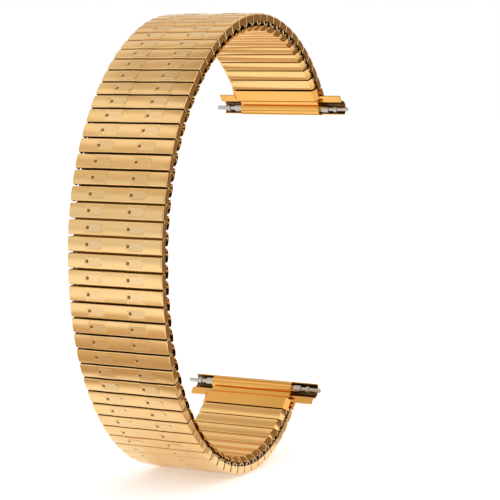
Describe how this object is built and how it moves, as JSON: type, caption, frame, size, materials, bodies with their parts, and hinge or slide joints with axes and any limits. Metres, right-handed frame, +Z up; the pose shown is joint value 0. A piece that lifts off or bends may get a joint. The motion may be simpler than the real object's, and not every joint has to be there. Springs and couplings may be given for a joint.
{
  "type": "expansion watch band",
  "caption": "Sprung expansion watch band of two overlapping rows of short metal links on wire bows, with telescopic end sleeves and spring bars.",
  "frame": {"origin": "middle of the spring bar in the upper end link", "axes": "+X across the band along the spring bars, +Z up, and the band bulges towards -Y"},
  "size_m": [0.0248, 0.0577, 0.073],
  "materials": {
    "cover_gold": "satin gold tone, brushed",
    "inner_gold": "polished gold tone",
    "sleeve_gold": "polished gold tone",
    "bow_steel": "bright drawn wire",
    "bar_steel": "satin steel"
  },
  "bodies": {
    "upper_end": {"upper_end_link": "inner_gold", "upper_end_bows": "bow_steel", "upper_spring_bar_tube": "bar_steel", "upper_spring_bar_coil": "bar_steel"},
    "outer_group_01": {"outer_links_01": "cover_gold"},
    "inner_group_01": {"inner_links_01": "inner_gold", "bows_01": "bow_steel"},
    "outer_group_02": {"outer_links_02": "cover_gold"},
    "inner_group_02": {"inner_links_02": "inner_gold", "bows_02": "bow_steel"},
    "outer_group_03": {"outer_links_03": "cover_gold"},
    "inner_group_03": {"inner_links_03": "inner_gold", "bows_03": "bow_steel"},
    "outer_group_04": {"outer_links_04": "cover_gold"},
    "inner_group_04": {"inner_links_04": "inner_gold", "bows_04": "bow_steel"},
    "outer_group_05": {"outer_links_05": "cover_gold"},
    "inner_group_05": {"inner_links_05": "inner_gold", "bows_05": "bow_steel"},
    "outer_group_06": {"outer_links_06": "cover_gold"},
    "inner_group_06": {"inner_links_06": "inner_gold", "bows_06": "bow_steel"},
    "outer_group_07": {"outer_links_07": "cover_gold"},
    "inner_group_07": {"inner_links_07": "inner_gold", "bows_07": "bow_steel"},
    "outer_group_08": {"outer_links_08": "cover_gold"},
    "inner_group_08": {"inner_links_08": "inner_gold", "bows_08": "bow_steel"},
    "outer_group_09": {"outer_links_09": "cover_gold"},
    "inner_group_09": {"inner_links_09": "inner_gold", "bows_09": "bow_steel"},
    "outer_group_10": {"outer_links_10": "cover_gold"},
    "inner_group_10": {"inner_links_10": "inner_gold", "bows_10": "bow_steel"},
    "outer_group_11": {"outer_links_11": "cover_gold"},
    "inner_group_11": {"inner_links_11": "inner_gold", "bows_11": "bow_steel"},
    "outer_group_12": {"outer_links_12": "cover_gold"},
    "inner_group_12": {"inner_links_12": "inner_gold", "bows_12": "bow_steel"},
    "outer_group_13": {"outer_links_13": "cover_gold"},
    "inner_group_13": {"inner_links_13": "inner_gold", "bows_13": "bow_steel"},
    "outer_group_14": {"outer_links_14": "cover_gold"},
    "inner_group_14": {"inner_links_14": "inner_gold", "bows_14": "bow_steel"},
    "outer_group_15": {"outer_links_15": "cover_gold"},
    "inner_group_15": {"inner_links_15": "inner_gold", "bows_15": "bow_steel", "lower_end_link": "inner_gold", "lower_spring_bar_tube": "bar_steel", "lower_spring_bar_coil": "bar_steel"},
    "upper_sleeve_left": {"upper_sleeve_left": "sleeve_gold"},
    "upper_tip_left": {"upper_spring_bar_tip_left": "bar_steel"},
    "upper_sleeve_right": {"upper_sleeve_right": "sleeve_gold"},
    "upper_tip_right": {"upper_spring_bar_tip_right": "bar_steel"},
    "lower_sleeve_left": {"lower_sleeve_left": "sleeve_gold"},
    "lower_tip_left": {"lower_spring_bar_tip_left": "bar_steel"},
    "lower_sleeve_right": {"lower_sleeve_right": "sleeve_gold"},
    "lower_tip_right": {"lower_spring_bar_tip_right": "bar_steel"}
  },
  "joints": [
    {"name": "curl_01", "type": "hinge", "parent": "upper_end", "child": "outer_group_01", "pos_m": [0, -0.00179, 0.00379], "axis": [-1, 0, 0], "range_deg": [-0.7, 9.75], "stiffness_Nm_per_rad": 0.8},
    {"name": "stretch_01", "type": "hinge", "parent": "outer_group_01", "child": "inner_group_01", "pos_m": [0, -0.02456, -0.01369], "axis": [1, 0, 0], "range_deg": [0, 1.9], "stiffness_Nm_per_rad": 3.4538},
    {"name": "curl_02", "type": "hinge", "parent": "inner_group_01", "child": "outer_group_02", "pos_m": [0, -0.00893, 0.01039], "axis": [-1, 0, 0], "range_deg": [-1.4, 19.5], "stiffness_Nm_per_rad": 0.8},
    {"name": "stretch_02", "type": "hinge", "parent": "outer_group_02", "child": "inner_group_02", "pos_m": [0, -0.02456, -0.01369], "axis": [1, 0, 0], "range_deg": [0, 1.9], "stiffness_Nm_per_rad": 3.4538},
    {"name": "curl_03", "type": "hinge", "parent": "inner_group_02", "child": "outer_group_03", "pos_m": [0, -0.01786, 0.01422], "axis": [-1, 0, 0], "range_deg": [-1.45, 20.25], "stiffness_Nm_per_rad": 0.8},
    {"name": "stretch_03", "type": "hinge", "parent": "outer_group_03", "child": "inner_group_03", "pos_m": [0, -0.02403, -0.01166], "axis": [1, 0, 0], "range_deg": [0, 2.05], "stiffness_Nm_per_rad": 2.9781},
    {"name": "curl_04", "type": "hinge", "parent": "inner_group_03", "child": "outer_group_04", "pos_m": [0, -0.02755, 0.01471], "axis": [-1, 0, 0], "range_deg": [-1.49, 20.75], "stiffness_Nm_per_rad": 0.8},
    {"name": "stretch_04", "type": "hinge", "parent": "outer_group_04", "child": "inner_group_04", "pos_m": [0, -0.02396, -0.01232], "axis": [1, 0, 0], "range_deg": [0, 2], "stiffness_Nm_per_rad": 3.1251},
    {"name": "curl_05", "type": "hinge", "parent": "inner_group_04", "child": "outer_group_05", "pos_m": [0, -0.03679, 0.01174], "axis": [-1, 0, 0], "range_deg": [-1.35, 18.75], "stiffness_Nm_per_rad": 0.8},
    {"name": "stretch_05", "type": "hinge", "parent": "outer_group_05", "child": "inner_group_05", "pos_m": [0, -0.02134, -0.01745], "axis": [1, 0, 0], "range_deg": [0, 1.65], "stiffness_Nm_per_rad": 4.5442},
    {"name": "curl_06", "type": "hinge", "parent": "inner_group_05", "child": "outer_group_06", "pos_m": [0, -0.04465, 0.00594], "axis": [-1, 0, 0], "range_deg": [-1.15, 16], "stiffness_Nm_per_rad": 0.8},
    {"name": "stretch_06", "type": "hinge", "parent": "outer_group_06", "child": "inner_group_06", "pos_m": [0, -0.01822, -0.02068], "axis": [1, 0, 0], "range_deg": [0, 1.45], "stiffness_Nm_per_rad": 5.8366},
    {"name": "curl_07", "type": "hinge", "parent": "inner_group_06", "child": "outer_group_07", "pos_m": [0, -0.05064, -0.0018], "axis": [-1, 0, 0], "range_deg": [-1.09, 15.25], "stiffness_Nm_per_rad": 0.8},
    {"name": "stretch_07", "type": "hinge", "parent": "outer_group_07", "child": "inner_group_07", "pos_m": [0, -0.01928, -0.02005], "axis": [1, 0, 0], "range_deg": [0, 1.5], "stiffness_Nm_per_rad": 5.4662},
    {"name": "curl_08", "type": "hinge", "parent": "inner_group_07", "child": "outer_group_08", "pos_m": [0, -0.05438, -0.01085], "axis": [-1, 0, 0], "range_deg": [-1.08, 15], "stiffness_Nm_per_rad": 0.8},
    {"name": "stretch_08", "type": "hinge", "parent": "outer_group_08", "child": "inner_group_08", "pos_m": [0, -0.01682, -0.02073], "axis": [1, 0, 0], "range_deg": [0, 1.4], "stiffness_Nm_per_rad": 6.2461},
    {"name": "curl_09", "type": "hinge", "parent": "inner_group_08", "child": "outer_group_09", "pos_m": [0, -0.05565, -0.02057], "axis": [-1, 0, 0], "range_deg": [-0.93, 13], "stiffness_Nm_per_rad": 0.8},
    {"name": "stretch_09", "type": "hinge", "parent": "outer_group_09", "child": "inner_group_09", "pos_m": [0, -0.00652, -0.02091], "axis": [1, 0, 0], "range_deg": [0, 1.11], "stiffness_Nm_per_rad": 9.9296},
    {"name": "curl_10", "type": "hinge", "parent": "inner_group_09", "child": "outer_group_10", "pos_m": [0, -0.05474, -0.03037], "axis": [-1, 0, 0], "range_deg": [-0.93, 13], "stiffness_Nm_per_rad": 0.8},
    {"name": "stretch_10", "type": "hinge", "parent": "outer_group_10", "child": "inner_group_10", "pos_m": [0, -0.01665, -0.02279], "axis": [1, 0, 0], "range_deg": [0, 1.4], "stiffness_Nm_per_rad": 6.2461},
    {"name": "curl_11", "type": "hinge", "parent": "inner_group_10", "child": "outer_group_11", "pos_m": [0, -0.05162, -0.03966], "axis": [-1, 0, 0], "range_deg": [-1.09, 15.25], "stiffness_Nm_per_rad": 0.8},
    {"name": "stretch_11", "type": "hinge", "parent": "outer_group_11", "child": "inner_group_11", "pos_m": [0, -0.02001, -0.02435], "axis": [1, 0, 0], "range_deg": [0, 1.55], "stiffness_Nm_per_rad": 5.1299},
    {"name": "curl_12", "type": "hinge", "parent": "inner_group_11", "child": "outer_group_12", "pos_m": [0, -0.04618, -0.04778], "axis": [-1, 0, 0], "range_deg": [-1.26, 17.5], "stiffness_Nm_per_rad": 0.8},
    {"name": "stretch_12", "type": "hinge", "parent": "outer_group_12", "child": "inner_group_12", "pos_m": [0, -0.02428, -0.02806], "axis": [1, 0, 0], "range_deg": [0, 1.85], "stiffness_Nm_per_rad": 3.638},
    {"name": "curl_13", "type": "hinge", "parent": "inner_group_12", "child": "outer_group_13", "pos_m": [0, -0.03857, -0.05384], "axis": [-1, 0, 0], "range_deg": [-1.53, 21.25], "stiffness_Nm_per_rad": 0.8},
    {"name": "stretch_13", "type": "hinge", "parent": "outer_group_13", "child": "inner_group_13", "pos_m": [0, -0.02716, -0.03306], "axis": [1, 0, 0], "range_deg": [0, 2.3], "stiffness_Nm_per_rad": 2.3783},
    {"name": "curl_14", "type": "hinge", "parent": "inner_group_13", "child": "outer_group_14", "pos_m": [0, -0.02935, -0.05667], "axis": [-1, 0, 0], "range_deg": [-1.83, 25.5], "stiffness_Nm_per_rad": 0.8},
    {"name": "stretch_14", "type": "hinge", "parent": "outer_group_14", "child": "inner_group_14", "pos_m": [0, -0.02756, -0.03658], "axis": [1, 0, 0], "range_deg": [0, 2.7], "stiffness_Nm_per_rad": 1.7369},
    {"name": "curl_15", "type": "hinge", "parent": "inner_group_14", "child": "outer_group_15", "pos_m": [0, -0.01988, -0.05522], "axis": [-1, 0, 0], "range_deg": [-1.99, 27.75], "stiffness_Nm_per_rad": 0.8},
    {"name": "stretch_15", "type": "hinge", "parent": "outer_group_15", "child": "inner_group_15", "pos_m": [0, -0.02743, -0.03693], "axis": [1, 0, 0], "range_deg": [0, 2.75], "stiffness_Nm_per_rad": 1.6754},
    {"name": "upper_sleeve_left_slide", "type": "slide", "parent": "upper_end", "child": "upper_sleeve_left", "axis": [1, 0, 0], "range_m": [0, 0.0034]},
    {"name": "upper_tip_left_press", "type": "slide", "parent": "upper_end", "child": "upper_tip_left", "axis": [1, 0, 0], "range_m": [0, 0.00095], "stiffness_N_per_m": 500, "springref_m": -0.001, "deforming": ["upper_spring_bar_coil"]},
    {"name": "upper_sleeve_right_slide", "type": "slide", "parent": "upper_end", "child": "upper_sleeve_right", "axis": [-1, 0, 0], "range_m": [0, 0.0034]},
    {"name": "upper_tip_right_press", "type": "slide", "parent": "upper_end", "child": "upper_tip_right", "axis": [-1, 0, 0], "range_m": [0, 0.00095], "stiffness_N_per_m": 500, "springref_m": -0.001, "deforming": ["upper_spring_bar_coil"]},
    {"name": "lower_sleeve_left_slide", "type": "slide", "parent": "inner_group_15", "child": "lower_sleeve_left", "axis": [1, 0, 0], "range_m": [0, 0.0034]},
    {"name": "lower_tip_left_press", "type": "slide", "parent": "inner_group_15", "child": "lower_tip_left", "axis": [1, 0, 0], "range_m": [0, 0.00095], "stiffness_N_per_m": 500, "springref_m": -0.001, "deforming": ["lower_spring_bar_coil"]},
    {"name": "lower_sleeve_right_slide", "type": "slide", "parent": "inner_group_15", "child": "lower_sleeve_right", "axis": [-1, 0, 0], "range_m": [0, 0.0034]},
    {"name": "lower_tip_right_press", "type": "slide", "parent": "inner_group_15", "child": "lower_tip_right", "axis": [-1, 0, 0], "range_m": [0, 0.00095], "stiffness_N_per_m": 500, "springref_m": -0.001, "deforming": ["lower_spring_bar_coil"]}
  ],
  "couplings": [
    {"joint": "stretch_02", "follows": "stretch_01", "ratio": 1},
    {"joint": "stretch_03", "follows": "stretch_01", "ratio": 1.0789},
    {"joint": "stretch_04", "follows": "stretch_01", "ratio": 1.0526},
    {"joint": "stretch_05", "follows": "stretch_01", "ratio": 0.86913},
    {"joint": "stretch_06", "follows": "stretch_01", "ratio": 0.76501},
    {"joint": "stretch_07", "follows": "stretch_01", "ratio": 0.79099},
    {"joint": "stretch_08", "follows": "stretch_01", "ratio": 0.73906},
    {"joint": "stretch_09", "follows": "stretch_01", "ratio": 0.58401},
    {"joint": "stretch_10", "follows": "stretch_01", "ratio": 0.73906},
    {"joint": "stretch_11", "follows": "stretch_01", "ratio": 0.81701},
    {"joint": "stretch_12", "follows": "stretch_01", "ratio": 0.97376},
    {"joint": "stretch_13", "follows": "stretch_01", "ratio": 1.2111},
    {"joint": "stretch_14", "follows": "stretch_01", "ratio": 1.4242},
    {"joint": "stretch_15", "follows": "stretch_01", "ratio": 1.451}
  ]
}
